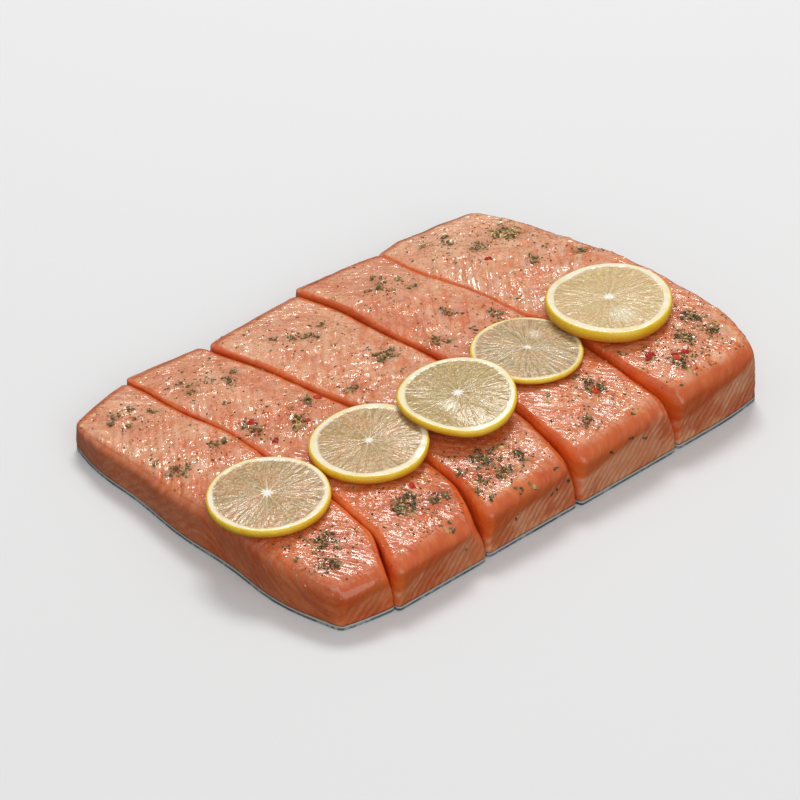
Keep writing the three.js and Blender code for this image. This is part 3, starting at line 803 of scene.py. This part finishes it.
# The marinade
CHILLI_SPOTS = [
    (78.3, -70.4), (93, -78.5), (87.4, -79), (-76.1, 21.6), (-59, -64), (85.9, 41.7), (-78.5, 2.6),
    (-58.7, 4.8), (-42.2, 16.3), (45, -69),
]
GARLIC_SPOTS = [(-13, -71), (-36, -78.7), (-65, 5.6), (94, 2)]
LONE_HERBS = [
    (68.6, -51), (71, -60.6), (86.7, -88), (-36, -70), (-37, -83), (-36, -90.5), (-63, -93), (-71, -77),
    (-130, -39.6), (39, 1.2), (49, -91), (111, 29), (72.6, 7.7), (-122.6, 30), (112, -61), (-88, 18),
    (-74.5, 42), (-70, -55), (10, -4.6), (19, 7.8), (-23, -94), (-17, -95), (25, -61), (44, -58),
    (-107, -72),
]
# These are places on the back faces: x and z
BACK_HERBS = [(-58, 12), (50, 18), (41, 22), (-2.7, 25), (-6, 15), (30, 20), (-28, 14), (4, 17)]
SLICE_HERBS = [(113.5, -51.5), (18.6, -38)]
# The leaves at each of those places, how far they scatter and how long they are
HERB_GROUPS = [
    (LONE_HERBS, 4, 1.1, (0.8, 1.9)),
    (BACK_HERBS, 2, 1.2, (0.7, 1.6)),
    (SLICE_HERBS, 2, 0.8, (0.8, 1.5)),
]
PILE = {"at": (109, 54), "spread": 4, "grains": 60}
SPOT_REACH = 2.2
SLICE_CLEARANCE = 0.5
FINE_PER_FLAKE = 9
FINE_SPREAD = 12
FINE_CROWDING = 1.3
PEPPER_PER_FLAKE = 10
SKIPPED_ON_BELLY = 0.5
LOOSE_PEPPER = 420
LOOSE_HERBS = 160
GARLIC_GRAINS = 300
LEAVES_PER_CLUMP = 9
CLUMP_LIFT = (-0.05, 0.8)
CLUMP_LENGTHS = (0.4, 1.2)
CLUMP_WIDTHS = (0.35, 0.8)
SMALL_WIDTHS = (0.35, 0.75)
LOOSE_X = (-129, 129)
LOOSE_Y = (BACK_Y + 4, BELLY_Y - 3)
# How far the bits keep from cuts, from the side's edges and from the lemon slices
FINE_CLEARANCES = (2, 5, 0.6)
LOOSE_CLEARANCES = (0.5, 3, 0.6)
# About a full turn
ANY_TURN = 6.3

herbs = Bits(31)
chilli = Bits(32)
pepper = Bits(33)
garlic = Bits(34)
draws = np.random.default_rng(35)


def tilted(normal, most=0.45):
    return (Vector(normal) + Vector(draws.uniform(-most, most, 3))).normalized()


def near(spots, x, y):
    return min(math.hypot(x - a, y - b) for a, b in spots) < SPOT_REACH


def clump(x, y, turn, size):
    """A tuft of crumbled leaves, as large as the flake that the source has here."""
    for _ in range(LEAVES_PER_CLUMP):
        along = draws.uniform(-1, 1) * FLAKE_LENGTH * size
        across = draws.uniform(-1, 1) * FLAKE_WIDTH * size
        at, normal = drop_on_top(
            x + along * math.cos(turn) - across * math.sin(turn),
            y + along * math.sin(turn) + across * math.cos(turn),
        )
        at = at + normal * draws.uniform(*CLUMP_LIFT) * size
        length = draws.uniform(*CLUMP_LENGTHS) * size
        shape = (length, length * draws.uniform(*CLUMP_WIDTHS), 0.4 * size)
        shade = draws.uniform(0.3 * (y > 0), 1)
        herbs.leaf(at, tilted(normal, 0.6), draws.uniform(0, ANY_TURN), *shape, shade, outline=7)


def small_leaf(at, normal, low=0.4, high=1.3):
    if at is None:
        return
    length = draws.uniform(low, high)
    shape = (length, length * draws.uniform(*SMALL_WIDTHS), 0.35)
    herbs.leaf(at, tilted(normal), draws.uniform(0, ANY_TURN), *shape, draws.random(), outline=6)


def grain(bits, x, y, sizes, flatness, shades=(0, 1), turns=ANY_TURN):
    at, normal = drop_on_top(x, y)
    bits.lump(at, normal, draws.uniform(0, turns), draws.uniform(*sizes), flatness, draws.uniform(*shades))


for place in flakes:
    x, y, size = place["x"], place["y"], place["size"]
    at, normal = drop_on_top(x, y)
    shape = (FLAKE_LENGTH * size, FLAKE_WIDTH * size, FLAKE_HEIGHT * size)
    if near(CHILLI_SPOTS, x, y):
        chilli.leaf(at, normal, place["turn"], *shape, draws.random(), outline=7)
    elif near(GARLIC_SPOTS, x, y):
        garlic.lump(at, normal, place["turn"], FLAKE_LENGTH * size * 0.8, 0.45, draws.random())
    else:
        clump(x, y, place["turn"], size)

for x, y in CHILLI_SPOTS:
    at, normal = drop_on_top(x, y)
    turn = draws.uniform(0, 3)
    shape = (draws.uniform(1.8, 2.5), draws.uniform(1.2, 1.8), 0.8)
    chilli.leaf(at, normal, turn, *shape, draws.random())
for x, y in GARLIC_SPOTS:
    grain(garlic, x, y, (1.2, 2), 0.5, turns=3)
for _ in range(PILE["grains"]):
    x, y = np.array(PILE["at"]) + draws.normal(0, PILE["spread"], 2)
    grain(garlic, x, y, (0.4, 1), 0.7, (0.5, 1))

for spots, leaves, spread, lengths in HERB_GROUPS:
    for spot in np.repeat(spots, leaves, axis=0):
        x, y = spot + draws.normal(0, spread, 2)
        if spots is BACK_HERBS:
            small_leaf(*push_on_back(x, y), *lengths)
        elif spots is SLICE_HERBS or slice_distance(x, y) >= SLICE_CLEARANCE:
            small_leaf(*drop_on_top(x, y), *lengths)

for patch_x, patch_y, reach, wanted in PATCHES:
    for kind, number in (("herb", wanted * FINE_PER_FLAKE), ("pepper", wanted * PEPPER_PER_FLAKE)):
        for _ in range(number):
            distance = 1 + (reach + FINE_SPREAD) * draws.random() ** FINE_CROWDING
            direction = draws.uniform(0, 2 * math.pi)
            x = patch_x + distance * math.cos(direction)
            y = patch_y + distance * math.sin(direction)
            skipped = kind == "herb" and y > 0 and draws.random() < SKIPPED_ON_BELLY
            if skipped or not fits_on_top(x, y, *FINE_CLEARANCES):
                continue
            if kind == "herb":
                small_leaf(*drop_on_top(x, y))
            else:
                grain(pepper, x, y, (0.2, 0.6), 0.7)

for kind, number in (("herb", LOOSE_HERBS), ("pepper", LOOSE_PEPPER), ("garlic", GARLIC_GRAINS)):
    for _ in range(number):
        x = draws.uniform(*LOOSE_X)
        y = draws.uniform(*LOOSE_Y)
        if not fits_on_top(x, y, *LOOSE_CLEARANCES):
            continue
        if kind == "herb":
            small_leaf(*drop_on_top(x, y), 0.4, 1.2)
        elif kind == "pepper":
            grain(pepper, x, y, (0.15, 0.38), 0.8)
        else:
            grain(garlic, x, y, (0.3, 0.65), 0.7)


# Materials. A colour is given as on a screen, from 0 to 255
def linear(colour):
    shares = [value / 255 for value in colour]
    return [s / 12.92 if s <= 0.04045 else ((s + 0.055) / 1.055) ** 2.4 for s in shares] + [1]


class Nodes:
    """The nodes of a material or of the world, made one call at a time."""

    def __init__(self, owner, base):
        owner.use_nodes = True
        self.owner = owner
        self.tree = owner.node_tree
        self.base = self.tree.nodes[base]
        self.coordinates = self.tree.nodes.new("ShaderNodeTexCoord").outputs
        self.object = self.coordinates["Object"]

    def put(self, socket, value):
        if isinstance(value, bpy.types.NodeSocket):
            self.tree.links.new(value, socket)
        elif isinstance(value, tuple) and len(value) == 3 and socket.type == "RGBA":
            socket.default_value = linear(value)
        else:
            socket.default_value = value

    def set(self, **values):
        for name, value in values.items():
            self.put(self.base.inputs[name.replace("_", " ")], value)

    def node(self, kind, inputs, output=0, **settings):
        made = self.tree.nodes.new(f"ShaderNode{kind}")
        for name, value in settings.items():
            setattr(made, name, value)
        for name, value in inputs.items():
            self.put(made.inputs[name], value)
        return made.outputs[output]

    def number(self, name):
        return self.node("Attribute", {}, "Fac", attribute_name=name)

    def vector(self, name):
        return self.node("Attribute", {}, "Vector", attribute_name=name)

    def math(self, operation, a, b):
        return self.node("Math", {0: a, 1: b}, operation=operation)

    def times(self, first, *others):
        for one in others:
            first = self.math("MULTIPLY", first, one)
        return first

    def plus(self, a, b):
        return self.math("ADD", a, b)

    def scaled(self, vector, scale):
        return self.node("VectorMath", {0: vector, 1: scale}, operation="MULTIPLY")

    def noise(self, vector, scale, detail=2, roughness=0.5):
        inputs = {"Vector": vector, "Scale": scale, "Detail": detail, "Roughness": roughness}
        return self.node("TexNoise", inputs, "Fac")

    def cells(self, vector, scale):
        return self.node("TexVoronoi", {"Vector": vector, "Scale": scale}, "Distance")

    def ease(self, value, low, high, start=0, end=1):
        inputs = {"Value": value, "From Min": low, "From Max": high, "To Min": start, "To Max": end}
        return self.node("MapRange", inputs, interpolation_type="SMOOTHSTEP")

    def colour(self, share, a, b):
        return self.node("Mix", {0: share, 6: a, 7: b}, 2, data_type="RGBA")

    def layered(self, colour, layers):
        """A colour with others laid over it, each with its share."""
        for share, over in layers:
            colour = self.colour(share, colour, over)
        return colour

    def bump(self, height, distance, normal=None):
        inputs = {"Height": height, "Distance": distance * MM, "Strength": 1}
        if normal is not None:
            inputs["Normal"] = normal
        return self.node("Bump", inputs)


def new_material(name):
    return Nodes(bpy.data.materials.new(name), "Principled BSDF")


FLESH_MARKS = ("cut", "seam_glow", "lined", "faded", "wall", "pale", "phase", "stain")


def flesh_material():
    s = new_material("salmon")
    cut, seam_glow, lined, faded, wall, pale, phase, stain = [s.number(name) for name in FLESH_MARKS]
    fibre = s.vector("fibre")
    broad = s.noise(s.object, 55, 3)
    medium = s.noise(s.object, 230, 3, 0.6)
    mottle = s.noise(s.object, 480, 3, 0.7)
    grain = s.noise(s.object, 900, 2, 0.6)
    specks = s.noise(s.object, 700, 1)
    streak = s.noise(s.scaled(fibre, (0.7, 0.1, 0.2)), 1, 4, 0.65)
    wisps = s.noise(s.scaled(fibre, (0.3, 0.06, 0.12)), 1, 2)
    smears = s.noise(s.scaled(fibre, (0.2, 0.1, 0.12)), 1, 2, 0.6)
    to_line = s.math("PINGPONG", s.plus(phase, s.times(s.noise(s.object, 170, 3, 0.6), 0.8)), 0.5)
    thin_line = s.ease(to_line, 0.26, 0.04)
    wide_line = s.ease(to_line, 0.42, 0.1)
    smooth_part = s.math("MAXIMUM", cut, wall)
    rough_part = s.math("SUBTRACT", 1, smooth_part)

    # The body's colours: deep orange, and pale pink with smears
    deep = s.layered(s.colour(s.ease(broad, 0.35, 0.65), (200, 82, 24), (212, 98, 34)), [
        (s.times(s.ease(wisps, 0.4, 0.75), 0.5), (224, 124, 62)),
    ])
    light = s.layered(s.colour(s.ease(medium, 0.3, 0.7), (222, 142, 90), (234, 170, 122)), [
        (s.ease(smears, 0.5, 0.6, 0, 0.8), (242, 184, 156)),
        (s.ease(smears, 0.48, 0.39, 0, 0.9), (226, 116, 56)),
        (s.times(faded, s.ease(broad, 0.35, 0.65, 0.5, 1)), (240, 186, 146)),
    ])
    body = s.colour(s.times(pale, s.ease(wisps, 0.3, 0.6, 0.7, 1)), deep, light)
    seam_glow_colour = s.colour(s.ease(broad, 0.35, 0.6), (224, 88, 22), (234, 112, 40))
    # How strongly the streaks, the lines and the specks show
    pale_streaks = s.times(s.ease(streak, 0.46, 0.72), s.plus(0.1, s.times(rough_part, 0.5)))
    dark_streaks = s.times(s.ease(streak, 0.44, 0.3), s.times(rough_part, 0.6))
    thin = s.times(s.plus(s.times(pale, 0.2), s.times(cut, 0.1)), s.ease(medium, 0.3, 0.6, 0.35, 1))
    washed = s.times(s.ease(broad, 0.35, 0.6, 0.4, 0.85), s.ease(medium, 0.35, 0.6, 0.4, 1))
    cloudy = s.times(rough_part, s.ease(broad, 0.38, 0.62, 0.25, 0.8))
    colour = s.layered(body, [
        (pale_streaks, (230, 160, 116)),
        (s.times(dark_streaks, s.ease(pale, 0.3, 0.9, 1, 0.6)), (196, 88, 36)),
        # Orange beside the cuts, the cut flesh's own orange painted brighter as a glow of light through
        # the flesh, and lines between the muscle's segments
        (s.times(seam_glow, s.ease(wisps, 0.3, 0.65, 0.95, 0.6)), seam_glow_colour),
        (s.times(thin_line, thin), (232, 178, 140)),
        (s.times(lined, s.ease(broad, 0.42, 0.62, 0.1, 0.75)), (232, 158, 114)),
        (s.times(wide_line, lined, washed), (246, 184, 148)),
        # Marks of the marinade, and a mottled, speckled surface
        (s.times(stain, s.ease(grain, 0.35, 0.6), 0.62), (132, 50, 18)),
        (s.times(s.ease(mottle, 0.5, 0.34), s.times(rough_part, 0.35)), (186, 80, 34)),
        (s.times(s.ease(mottle, 0.54, 0.7), s.times(rough_part, 0.5)), (236, 178, 136)),
        (s.times(s.ease(specks, 0.6, 0.72), cloudy), (144, 76, 38)),
        (s.times(s.ease(grain, 0.6, 0.75), s.times(rough_part, 0.4)), (240, 200, 164)),
    ])
    s.set(Base_Color=colour, Roughness=s.ease(medium, 0.3, 0.7, 0.3, 0.5))
    s.set(Subsurface_Weight=0.4, Subsurface_Radius=(1, 0.3, 0.12), Subsurface_Scale=0.005)
    s.set(Coat_Weight=0.9, Coat_Roughness=0.12, Specular_IOR_Level=0.25)

    # Relief under the wet film, and the film's own
    s.set(Normal=s.bump(s.times(grain, rough_part), 0.4, s.bump(streak, 0.5)))
    wet = s.noise(s.scaled(fibre, (0.36, 0.075, 0.16)), 1, 1.5, 0.5)
    film = s.bump(s.times(wet, s.ease(smooth_part, 0, 1, 1, 0.18)), 1.3)
    dimples = s.times(s.noise(s.object, 330, 1), s.times(rough_part, s.ease(broad, 0.38, 0.55)))
    s.set(Coat_Normal=s.bump(dimples, 1, film))
    return s.owner


def skin_material():
    s = new_material("skin")
    height = s.node("SeparateXYZ", {0: s.object}, "Z")
    fat = s.ease(height, 0.9 * MM, 1.5 * MM)
    scales = s.cells(s.scaled(s.object, (1, 1.5, 1)), 320)
    cloud = s.noise(s.object, 60, 3)
    silver = s.colour(s.ease(scales, 0.25, 0.6), (176, 180, 184), (112, 118, 126))
    colour = s.layered(silver, [(s.ease(cloud, 0.4, 0.7), (84, 88, 96)), (fat, (214, 208, 200))])
    s.set(Base_Color=colour, Roughness=s.ease(scales, 0.2, 0.6, 0.25, 0.4))
    s.set(Coat_Weight=0.6, Coat_Roughness=0.1, Subsurface_Weight=0.1, Subsurface_Scale=0.002)
    s.set(Normal=s.bump(scales, 0.2))
    return s.owner


def lemon_material(name):
    looks = SLICE_LOOKS[name]
    s = new_material(f"lemon_{name[-1]}")
    pulp, pith, core, rind, low, frost = [s.number(mark) for mark in SLICE_MARKS]
    spoke = s.vector("spoke")
    cells = s.noise(s.scaled(spoke, (CELLS_AROUND, CELLS_AROUND, 4.2)), 1, 3, 0.6)
    threads = s.noise(s.scaled(spoke, (42, 42, 9)), 1, 2, 0.6)
    beads = s.noise(s.object, 1050, 2, 0.6)
    broad = s.noise(s.object, 95, 2)
    pores = s.cells(s.object, 950)
    # Painted glints: near-white spots on the pulp's beads
    painted_glints = s.times(s.ease(beads, 0.6, 0.72), s.ease(broad, 0.35, 0.6, 0.3, 0.9))
    # Painted sparkle: whitish patches on the pulp round the listed spots
    painted_sparkle_share = s.times(s.ease(frost, 0, 0.8), s.ease(threads, 0.42, 0.6, 0.2, 0.9))
    flesh = s.layered(s.colour(s.ease(cells, 0.3, 0.7), looks["deep"], looks["pulp"]), [
        (s.times(s.ease(broad, 0.4, 0.65), looks["tint"]), (214, 142, 96)),
        (s.times(s.ease(threads, 0.5, 0.75), 0.4), (232, 214, 170)),
        (s.times(s.ease(beads, 0.42, 0.25), 0.3), looks["deep"]),
        (painted_glints, (244, 234, 200)),
        (painted_sparkle_share, (242, 236, 214)),
    ])
    wall = s.colour(s.ease(cells, 0.35, 0.65), looks["pulp"], looks["wall"])
    white = s.colour(s.ease(broad, 0.35, 0.7), looks["white"], (234, 218, 172))
    yellow = s.layered(s.colour(s.ease(broad, 0.3, 0.7), looks["yellow"], (242, 208, 60)), [
        (s.times(s.ease(pores, 0.35, 0.1), 0.3), (214, 156, 16)),
        # Painted shade: darker orange towards the foot of the rind's side
        (s.ease(low, 0.15, 0.75, 0, 0.75), (196, 112, 20)),
    ])
    colour = s.layered(wall, [(pulp, flesh), (pith, white), (core, (242, 236, 222)), (rind, yellow)])
    s.set(Base_Color=colour, Roughness=s.ease(pulp, 0, 1, 0.45, 0.32))
    s.set(Subsurface_Weight=0.3, Subsurface_Radius=(1, 0.75, 0.2), Subsurface_Scale=0.0025)
    s.set(Coat_Weight=0.35, Coat_Roughness=0.12, Specular_IOR_Level=0.35)
    drops = s.noise(s.object, 620, 1)
    fine = s.bump(s.times(threads, pulp), 0.07)
    fine = s.bump(s.times(drops, pulp), 0.42, fine)
    s.set(Normal=s.bump(s.times(pores, rind), 0.2, fine))
    return s.owner


def flake_material(name, dark, middle, light, roughness, gloss, shine):
    s = new_material(name)
    shade = s.number("shade")
    fine = s.noise(s.object, 1500, 2)
    colour = s.layered(s.colour(s.ease(shade, 0.1, 0.6), dark, middle), [
        (s.ease(shade, 0.62, 1), light),
        (s.times(s.ease(fine, 0.45, 0.7), 0.5), light),
    ])
    s.set(Base_Color=colour, Roughness=roughness)
    s.set(Coat_Weight=gloss, Coat_Roughness=0.12, Specular_IOR_Level=shine)
    s.set(Subsurface_Weight=0.1, Subsurface_Scale=0.001)
    s.set(Normal=s.bump(fine, 0.2))
    return s.owner


def dress(piece, material):
    piece.data.materials.clear()
    piece.data.materials.append(material)


salmon = flesh_material()
for piece in flesh_pieces:
    dress(piece, salmon)
skin = skin_material()
for index in range(len(PORTIONS)):
    dress(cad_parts[f"skin_{index + 1}"], skin)
for name, piece in slice_pieces.items():
    dress(piece, lemon_material(name))
# Each kind of bits has a dark, a middle and a light colour, roughness, gloss and shine
BIT_LOOKS = [
    (herbs, "herbs", "herb", (44, 46, 14), (108, 92, 38), (196, 168, 108), 0.45, 0.3, 0.3),
    (chilli, "chilli", "chilli_flake", (150, 8, 0), (180, 20, 0), (206, 60, 10), 0.5, 0.1, 0.15),
    (pepper, "pepper", "pepper_grain", (56, 30, 16), (112, 56, 26), (178, 108, 50), 0.6, 0.1, 0.2),
    (garlic, "garlic", "garlic_grain", (218, 150, 74), (230, 184, 110), (240, 214, 160), 0.4, 0.4, 0.5),
]
for bits, name, *looks in BIT_LOOKS:
    dress(bits.piece(name, "flesh"), flake_material(*looks))

# The floor and the light
FLOOR_SIZE = 8
FLOOR_Z = -0.0002
FLOOR_COLOUR = (225, 225, 225)
WORLD_LOW = 0.09
WORLD_SIDE = 0.25
WORLD_HIGH = 0.66
WORLD_FADE = -0.15
KEY = {"azimuth": 46, "elevation": 53, "distance": 3, "size": (1.2, 0.72), "energy": 48}
FILL = {"azimuth": 247, "elevation": 28, "distance": 3, "size": (3.2, 2), "energy": 33}
LIGHT_TARGET = Vector((0, 0, 0.02))


def softbox(name, azimuth, elevation, distance, size, energy):
    light = bpy.data.lights.new(name, "AREA")
    light.shape = "RECTANGLE"
    light.size, light.size_y = size
    light.energy = energy
    made = bpy.data.objects.new(name, light)
    a, e = math.radians(azimuth), math.radians(elevation)
    away = Vector((math.cos(e) * math.cos(a), math.cos(e) * math.sin(a), math.sin(e)))
    made.location = LIGHT_TARGET + away * distance
    made.rotation_euler = away.to_track_quat("Z", "Y").to_euler()
    bpy.context.scene.collection.objects.link(made)


softbox("key", **KEY)
softbox("fill", **FILL)
world = bpy.data.worlds.new("studio")
sky = Nodes(world, "Background")
up = sky.node("SeparateXYZ", {0: sky.coordinates["Generated"]}, "Z")
above = sky.node("MapRange", {"Value": up, "To Min": WORLD_SIDE, "To Max": WORLD_HIGH})
fade = {"From Min": WORLD_FADE, "From Max": 0, "To Min": WORLD_LOW / WORLD_SIDE}
below = sky.node("MapRange", {"Value": up, **fade})
sky.set(Color=(255, 255, 255), Strength=sky.times(above, below))
bpy.context.scene.world = world

half = FLOOR_SIZE / 2
floor_corners = [(x * half, y * half, 0) for x, y in ((-1, -1), (1, -1), (1, 1), (-1, 1))]
floor_mesh = bpy.data.meshes.new("floor")
floor_mesh.from_pydata(floor_corners, [], [(0, 1, 2, 3)])
floor = bpy.data.objects.new("floor", floor_mesh)
bpy.context.scene.collection.objects.link(floor)
floor.location.z = FLOOR_Z
floor_nodes = new_material("studio_floor")
floor_nodes.set(Base_Color=FLOOR_COLOUR, Roughness=0.9, Specular_IOR_Level=0.1)
dress(floor, floor_nodes.owner)
floor.visible_diffuse = False
floor.visible_glossy = False
